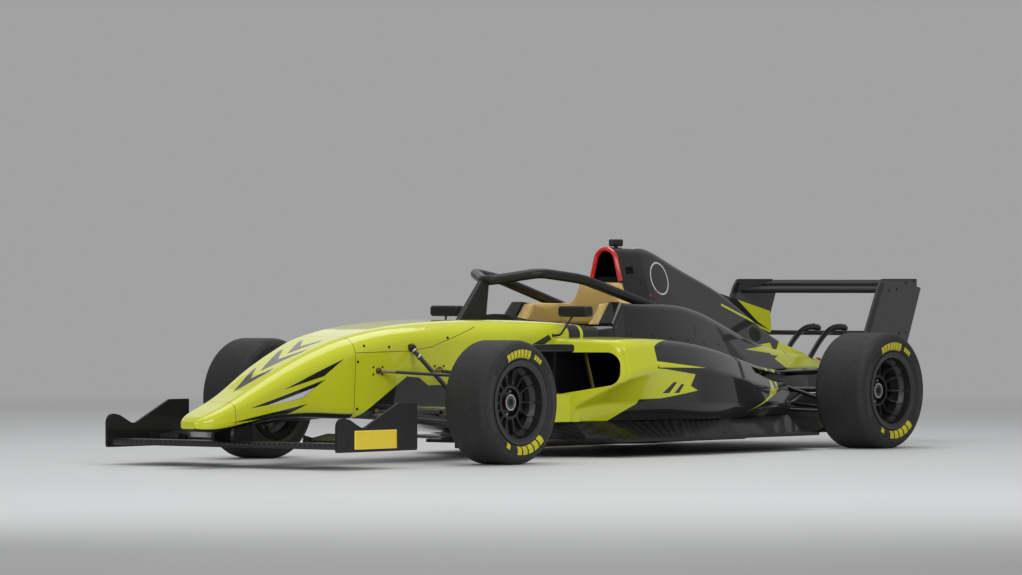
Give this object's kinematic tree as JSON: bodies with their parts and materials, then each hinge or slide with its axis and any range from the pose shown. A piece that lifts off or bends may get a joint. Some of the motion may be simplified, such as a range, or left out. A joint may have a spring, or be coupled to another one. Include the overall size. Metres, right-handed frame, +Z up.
{
  "type": "open wheel racing car",
  "caption": "Single-seat open wheel racing car with winged nose, halo over the cockpit, sidepods, engine cover with fin, rear wing, slick tyres and working steering.",
  "frame": {"origin": "on the ground under the middle of the car's length and width", "axes": "+X forwards, +Y to the car's left, +Z up"},
  "size_m": [4.9472, 1.6634, 0.993],
  "materials": {
    "paint": "gloss lime paint over composite",
    "dark_paint": "gloss charcoal paint over composite",
    "carbon": "lacquered carbon weave",
    "matte_carbon": "satin carbon",
    "pad": "tan padded surround",
    "seat_cover": "dark seat",
    "rim": "dark grey satin alloy",
    "tyre": "slick racing rubber",
    "steel": "machined steel",
    "alloy": "machined alloy",
    "casting": "cast alloy",
    "iron": "brake iron",
    "black_steel": "black painted steel tube",
    "red_trim": "gloss red",
    "plank": "laminated skid wood",
    "core": "cooler core"
  },
  "bodies": {
    "chassis": {"nose_cone": "paint", "monocoque": "paint", "front_wing_planes": "carbon", "front_wing_endplates": "carbon", "front_wing_pylons": "carbon", "halo": "matte_carbon", "cockpit_surround": "pad", "seat": "seat_cover", "sidepod_left": "dark_paint", "sidepod_right": "dark_paint", "radiators": "core", "floor": "carbon", "skid_plank": "plank", "engine_cover": "dark_paint", "airbox": "matte_carbon", "intake_trim": "red_trim", "camera_pod": "matte_carbon", "mirrors": "matte_carbon", "engine": "casting", "gearbox": "casting", "crash_structure": "carbon", "rear_wing_planes": "carbon", "rear_beam_wing": "carbon", "rear_wing_endplates": "carbon", "rear_wing_pylons": "black_steel", "front_wishbones": "black_steel", "front_pushrods": "black_steel", "rear_wishbones": "black_steel", "rear_pushrods": "black_steel", "rear_uprights": "alloy"},
    "steering_wheel": {"steering_wheel": "matte_carbon"},
    "steering_rack": {"steering_rack": "steel"},
    "knuckle_left": {"upright_front_left": "alloy"},
    "knuckle_right": {"upright_front_right": "alloy"},
    "wheel_front_left": {"rim_front_left": "rim", "tyre_front_left": "tyre", "hub_front_left": "iron"},
    "wheel_front_right": {"rim_front_right": "rim", "tyre_front_right": "tyre", "hub_front_right": "iron"},
    "wheel_rear_left": {"rim_rear_left": "rim", "tyre_rear_left": "tyre", "hub_rear_left": "iron"},
    "wheel_rear_right": {"rim_rear_right": "rim", "tyre_rear_right": "tyre", "hub_rear_right": "iron"}
  },
  "joints": [
    {"name": "steering_wheel_turn", "type": "hinge", "parent": "chassis", "child": "steering_wheel", "pos_m": [0.224, 0, 0.545], "axis": [-0.9781, 0, 0.2079], "range_deg": [-150, 150]},
    {"name": "rack_slide", "type": "slide", "parent": "chassis", "child": "steering_rack", "axis": [0, 1, 0], "range_m": [-0.0265, 0.0265]},
    {"name": "steer_left", "type": "hinge", "parent": "chassis", "child": "knuckle_left", "pos_m": [1.209, 0.652, 0.27], "axis": [0, 0, 1], "range_deg": [-18, 18]},
    {"name": "steer_right", "type": "hinge", "parent": "chassis", "child": "knuckle_right", "pos_m": [1.209, -0.652, 0.27], "axis": [0, 0, 1], "range_deg": [-18, 18]},
    {"name": "spin_front_left", "type": "hinge", "parent": "knuckle_left", "child": "wheel_front_left", "pos_m": [1.209, 0.6945, 0.27], "axis": [0, 1, 0], "continuous": true},
    {"name": "spin_rear_left", "type": "hinge", "parent": "chassis", "child": "wheel_rear_left", "pos_m": [-1.651, 0.6895, 0.275], "axis": [0, 1, 0], "continuous": true},
    {"name": "spin_front_right", "type": "hinge", "parent": "knuckle_right", "child": "wheel_front_right", "pos_m": [1.209, -0.6945, 0.27], "axis": [0, 1, 0], "continuous": true},
    {"name": "spin_rear_right", "type": "hinge", "parent": "chassis", "child": "wheel_rear_right", "pos_m": [-1.651, -0.6895, 0.275], "axis": [0, 1, 0], "continuous": true}
  ],
  "couplings": [
    {"joint": "steer_left", "follows": "steering_wheel_turn", "ratio": 0.12},
    {"joint": "steer_right", "follows": "steering_wheel_turn", "ratio": 0.12},
    {"joint": "rack_slide", "follows": "steering_wheel_turn", "m_per_rad": 0.010033}
  ]
}
